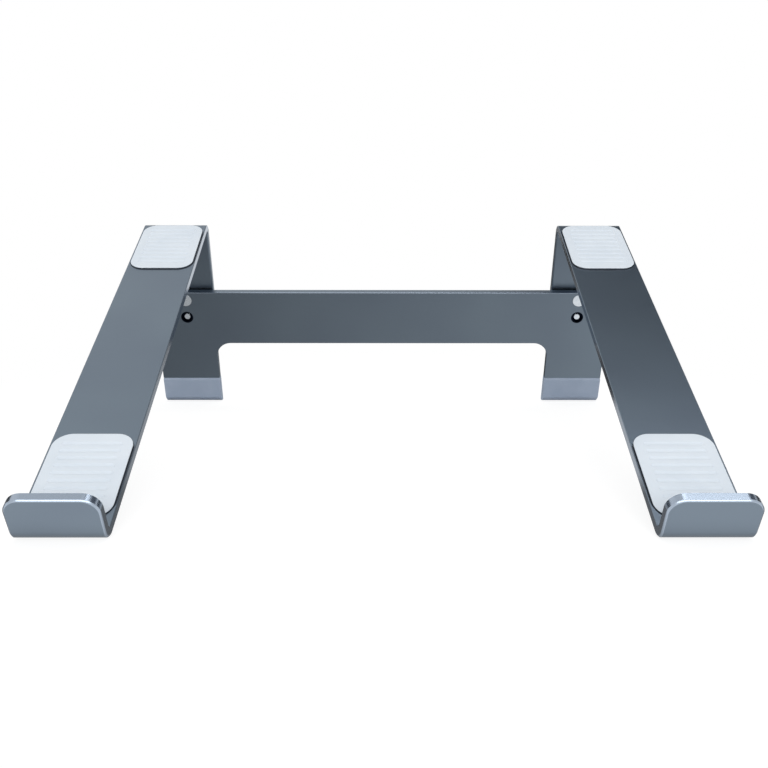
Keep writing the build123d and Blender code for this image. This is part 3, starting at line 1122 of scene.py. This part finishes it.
@dataclass
class SlideHardware:
    """The pin, bush, clamp screw and washers that hold each arm to the crossbar."""

    pin: float = 3.4
    pin_face: float = 3.65
    rivet: float = 4.2
    bush: float = 3.5
    bush_rim: float = 0.45
    bush_end: float = -9.3
    recess: float = 1.5
    bore: float = 2.05
    screw: float = 2.0
    head: float = 3.8
    key: float = 1.25
    key_end: float = 0.9
    washer: float = 5.0
    washer_front: float = -9.7
    washer_back: float = -10.5
    play: float = 0.05

    def pin_profile(self) -> list[Pair]:
        """Draw the pin's outline, from its flush face to its domed rivet head.

        Returns:
            Radius and height of each point.
        """
        back, step = self.washer_back, -3.9
        return [(0.0, 0.15), (self.pin_face - 0.22, 0.15), (self.pin_face - 0.07, 0.08),
                (self.pin_face, -0.08), (self.pin_face, step), (self.pin, step),
                (self.pin, back), (self.rivet, back), (self.rivet, back - 0.55),
                (self.rivet - 0.25, back - 0.98), (self.rivet - 0.8, back - 1.28),
                (self.rivet - 1.7, back - 1.38), (0.0, back - 1.4)]

    def bush_profile(self) -> list[Pair]:
        """Draw the bush's closed outline, with its recess and its threaded bore.

        Returns:
            Radius and height of each point.
        """
        mouth, end = self.bush - self.bush_rim, self.bush_end
        return [(self.bore, end), (self.bush - 0.15, end), (self.bush, end + 0.15), (self.bush, -0.12),
                (self.bush - 0.12, 0.0), (mouth + 0.08, 0.0), (mouth, -0.08), (mouth, -self.recess),
                (self.bore + 0.25, -self.recess), (self.bore, -self.recess - 0.25), (self.bore, end)]

    def screw_profile(self) -> list[Pair]:
        """Draw the clamp screw's outline, from its chamfered tip to its button head.

        Returns:
            Radius and height of each point.
        """
        back = self.washer_back
        return [(0.0, -1.0), (self.screw - 0.4, -1.0), (self.screw, -1.4), (self.screw, back),
                (self.head, back), (self.head, back - 0.85), (self.head - 0.25, back - 1.5),
                (self.head - 0.75, back - 2.02), (self.head - 1.4, back - 2.3), (0.0, back - 2.3)]

    def washer_profile(self, hole: float) -> list[Pair]:
        """Draw a washer's closed outline, with the soft edges that stamping leaves.

        Args:
            hole: The radius of its hole.

        Returns:
            Radius and height of each point.
        """
        front, back, soft = self.washer_front, self.washer_back, 0.12
        return [(hole, back + soft), (hole + soft, back), (self.washer - soft, back),
                (self.washer, back + soft), (self.washer, front - soft), (self.washer - soft, front),
                (hole + soft, front), (hole, front - soft), (hole, back + soft)]

    def build(self) -> None:
        """Build every round piece for both sides."""
        pieces = (
            ("guide_pin", self.pin_profile(), TURNED_STEEL),
            ("threaded_bush", self.bush_profile(), BLACK_STEEL),
            ("clamp_screw", self.screw_profile(), TURNED_STEEL),
            ("pin_washer", self.washer_profile(self.pin + self.play), STAMPED_STEEL),
            ("screw_washer", self.washer_profile(self.screw + self.play), STAMPED_STEEL),
        )
        for side in Side:
            for name, profile, finish in pieces:
                self.fit(side.node(name), profile, finish)

    def fit(self, node: str, profile: list[Pair], finish: TurnedMetal) -> None:
        """Turn one round piece, place it and fix it to the crossbar.

        Args:
            node: The piece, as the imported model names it.
            profile: Its outline.
            finish: Its finish.
        """
        piece = Workpiece.turned(f"{node}_turned", profile)
        slot = "washer" if node.endswith("washer") else node.split("_", 1)[1]
        if slot == "clamp_screw":
            piece.cut(Workpiece.rod("key", self.key / cos(radians(30)), self.washer_back - CLEAR,
                                    self.washer_back - self.key_end, 6))
        piece.place(Seat.behind_bar(node))
        piece.smooth(angle=35)
        piece.hand_over("crossbar_frame", [node], slot, finish.about(node))


@dataclass
class Spacer:
    """The low-friction shim between the plate and the leg, with its edges broken."""

    edge: float = 0.2
    pin_hole: float = 3.45
    bush_hole: float = 3.55
    drill_ends: Pair = (-9.0, 0.0)
    drill_sides: int = 64

    def build(self) -> None:
        """Build the shim for both sides."""
        for side in Side:
            node = side.node("spacer")
            half_x, half_y = extent(node, ACROSS) / 2, extent(node, UP_LEG) / 2
            shim = Workpiece.block(f"{node}_shim", (-half_x, -half_y, -extent(node, OFF_LEG)),
                                   (half_x, half_y, 0))
            shim.select_sharp(lambda place, way: True)
            shim.bevel(self.edge, 2)
            shim.place(Seat.on_top_of(node, UP_LEG, OFF_LEG))
            shim.drill(side.node("guide_pin"), self.pin_hole, self.drill_ends, self.drill_sides)
            shim.drill(side.node("threaded_bush"), self.bush_hole, self.drill_ends, self.drill_sides)
            shim.smooth()
            shim.hand_over("crossbar_frame", [node], "spacer", BLACK_ACETAL)


@dataclass
class Studio:
    """The pale floor, the soft lights and the camera."""

    floor_half: float = 3.0
    fill: float = 0.7
    lens: float = 43.36
    camera_place: Triple = (-0.00169, -0.43424, 0.1168)
    camera_turn: float = -0.29
    camera_dip: float = 10.79
    camera_roll: float = 0.08

    def lamp(self, name: str, place: Triple, size: Pair, radiance: float,
             target: Triple = STAND_MIDDLE) -> None:
        """Hang a soft box.

        Args:
            name: The lamp's name.
            place: Where it hangs, in metres.
            size: Its width and height, in metres.
            radiance: How bright its face looks, where 1 is white.
            target: What it looks at, in metres.
        """
        light = bpy.data.lights.new(name, "AREA")
        light.shape = "RECTANGLE"
        light.size, light.size_y = size
        light.energy = radiance * light.size * light.size_y * pi
        lamp = bpy.data.objects.new(name, light)
        lamp.location = place
        lamp.rotation_euler = (Vector(target) - Vector(place)).to_track_quat("-Z", "Y").to_euler()
        bpy.context.collection.objects.link(lamp)

    def card(self, name: str, place: Triple, size: float, colour: str,
             target: Triple = STAND_MIDDLE, depth: float = 1.0) -> None:
        """Stand a grey card that only reflections see, as photographers do to shape metal.

        Args:
            name: The card's name.
            place: Its middle, in metres.
            size: Its width, in metres.
            colour: How it looks in a mirror.
            target: What it looks at, in metres.
            depth: Its other side, as a share of its width.
        """
        Workpiece.clear_bench()
        bpy.ops.mesh.primitive_plane_add(size=size)
        card = bpy.context.object
        card.name = name
        card.matrix_world = Matrix.Translation(place) @ (
            (Vector(target) - Vector(place)).to_track_quat("Z", "Y").to_matrix().to_4x4()
        ) @ Matrix.Diagonal((1, depth, 1, 1))
        for ray in ("camera", "diffuse", "shadow", "transmission", "volume_scatter"):
            setattr(card, f"visible_{ray}", False)
        paint = bpy.data.materials.new(name)
        tree = empty_tree(paint)
        glow = add_node(tree, "Emission", inputs={"Color": linear(colour)})
        add_node(tree, "OutputMaterial", inputs={"Surface": glow.outputs[0]})
        card.data.materials.append(paint)

    def world(self) -> None:
        """Fill the room with soft light, and show white where the camera or a gloss looks past."""
        world = bpy.data.worlds.new("pale_room")
        bpy.context.scene.world = world
        tree = empty_tree(world)
        ray = add_node(tree, "LightPath")
        seen = add_node(tree, "Math", {"operation": "MAXIMUM"}, {
            0: ray.outputs["Is Camera Ray"], 1: ray.outputs["Is Glossy Ray"],
        })
        through = add_node(tree, "Math", {"operation": "MAXIMUM"}, {
            0: seen.outputs[0], 1: ray.outputs["Is Transmission Ray"],
        })
        level = add_node(tree, "MapRange", inputs={
            "Value": through.outputs[0], "To Min": self.fill, "To Max": 1.0,
        })
        glow = add_node(tree, "Background", inputs={
            "Color": (1, 1, 1, 1), "Strength": level.outputs[0],
        })
        add_node(tree, "OutputWorld", inputs={"Surface": glow.outputs[0]})

    def floor(self) -> None:
        """Lay a pale floor that keeps the stand's shadow and fades to white away from it, and that gloss
        sees as a painted reflection graded by place.
        """
        Workpiece.clear_bench()
        bpy.ops.mesh.primitive_plane_add(size=2 * self.floor_half, location=(0, 0, -0.2 * MM))
        floor = Workpiece.fresh("pale_floor").thing
        paint = bpy.data.materials.new("pale_floor_paint")
        tree = empty_tree(paint)
        ray = add_node(tree, "LightPath")
        place = add_node(tree, "TexCoord").outputs["Object"]
        split = add_node(tree, "SeparateXYZ", inputs={"Vector": place})
        body = add_node(tree, "BsdfDiffuse", inputs={"Color": linear("#8C8C8C")})
        white = add_node(tree, "Emission", inputs={"Color": (0.84, 0.84, 0.84, 1)})
        shown = add_node(tree, "AddShader", inputs={0: body.outputs[0], 1: white.outputs[0]})
        far = add_node(tree, "VectorMath", {"operation": "LENGTH"}, {0: place})
        bright = add_node(tree, "Emission", inputs={"Color": (1, 1, 1, 1)})
        # Where each change of level begins and ends, in metres, and the levels on its two sides. All but
        # the fade set the painted reflection: brighter than white in front of the lips, painted shade just
        # behind them and beneath the stand, darker to the left.
        levels = {}
        for name, source, start, end, low, high, kind in (
            ("fade", far.outputs["Value"], 0.17, 0.32, 0.0, 1.0, "SMOOTHSTEP"),
            ("across", split.outputs[0], -0.14, 0.14, 0.34, 0.79, "LINEAR"),
            ("behind", split.outputs[0], -0.06, 0.05, 0.1, 0.95, "LINEAR"),
            ("beyond", split.outputs[1], 0.15, 0.4, "across", "behind", "SMOOTHSTEP"),
            ("under", split.outputs[1], -0.07, -0.02, 0.2, "beyond", "SMOOTHSTEP"),
            ("mirror", split.outputs[1], -0.128, -0.112, 1.14, "under", "SMOOTHSTEP"),
        ):
            levels[name] = add_node(tree, "MapRange", {"interpolation_type": kind}, {
                "Value": source, "From Min": start, "From Max": end,
                "To Min": levels.get(low, low), "To Max": levels.get(high, high),
            }).outputs[0]
        camera_floor = add_node(tree, "MixShader", inputs={
            0: levels["fade"], 1: shown.outputs[0], 2: bright.outputs[0],
        })
        # Painted reflection: gloss sees this graded glow in place of the lit floor.
        painted_reflection = add_node(tree, "Emission", inputs={
            "Color": (1, 1, 1, 1), "Strength": levels["mirror"],
        })
        plain = add_node(tree, "BsdfDiffuse", inputs={"Color": linear("#E8E8E8")})
        glossy = add_node(tree, "MixShader", inputs={
            0: ray.outputs["Is Glossy Ray"], 1: plain.outputs[0], 2: painted_reflection.outputs[0],
        })
        whole = add_node(tree, "MixShader", inputs={
            0: ray.outputs["Is Camera Ray"], 1: glossy.outputs[0], 2: camera_floor.outputs[0],
        })
        add_node(tree, "OutputMaterial", inputs={"Surface": whole.outputs[0]})
        floor.data.materials.append(paint)

    def camera(self) -> None:
        """Set the camera where the photograph was taken from."""
        lens = bpy.data.cameras.new("camera")
        lens.lens = self.lens
        lens.sensor_width = 36
        lens.clip_start = 0.01
        camera = bpy.data.objects.new("camera", lens)
        turn, tilt, roll = (Matrix.Rotation(radians(angle), 3, axis) for angle, axis in (
            (self.camera_turn, "Z"), (90 - self.camera_dip, "X"), (self.camera_roll, "Z")))
        camera.rotation_euler = (turn @ tilt @ roll).to_euler()
        camera.location = self.camera_place
        bpy.context.collection.objects.link(camera)
        bpy.context.scene.camera = camera

    def build(self) -> None:
        """Set up the whole studio."""
        bpy.context.scene.view_settings.view_transform = "Standard"
        self.world()
        self.floor()
        self.lamp("front_box", (0.0, -1.2, 0.5), (1.6, 0.6), 2.2)
        self.lamp("top_right_box", (0.36, 0.175, 1.0), (0.6, 0.12), 3.8, (0.36, 0.175, 0))
        # A dark card on the floor behind the crossbar, right of the middle, seen only in reflections:
        # painted shade.
        self.card("floor_mat", (0.045, 0.25, 0), 0.1, "#3E3E3E", (0.045, 0.25, 1), 2.5)
        self.card("rear_left_card", (-0.35, 0.75, 1.15), 1.0, "#EDEDED")
        self.card("rear_right_card", (0.62, 0.52, 1.15), 1.35, "#5F646C")
        self.card("strip_flag", (0.46, 0.53, 0.96), 0.3, "#30343A")
        self.card("left_flag", (-1.2, 0.75, 0.18), 0.7, "#3C3C3C")
        self.card("right_flag", (1.2, 0.75, 0.18), 0.7, "#3C3C3C")
        self.card("horizon_flag", (-0.38, 1.15, 0.15), 0.6, "#303030")
        self.card("ceiling_flag", (0.0, -0.45, 1.1), 0.8, "#404040")
        self.camera()


def main() -> None:
    """Build the stand piece by piece, then the studio."""
    logging.basicConfig(level=logging.INFO, format="%(message)s")
    for assembly in (Arm(), Crossbar(), RibbedPad(), LipPad(), FootCap(), FrontFoot(),
                     SlideHardware(), Spacer()):
        assembly.build()
        log.info("%s built", type(assembly).__name__)
    Studio().build()


if __name__ == "__main__":
    main()
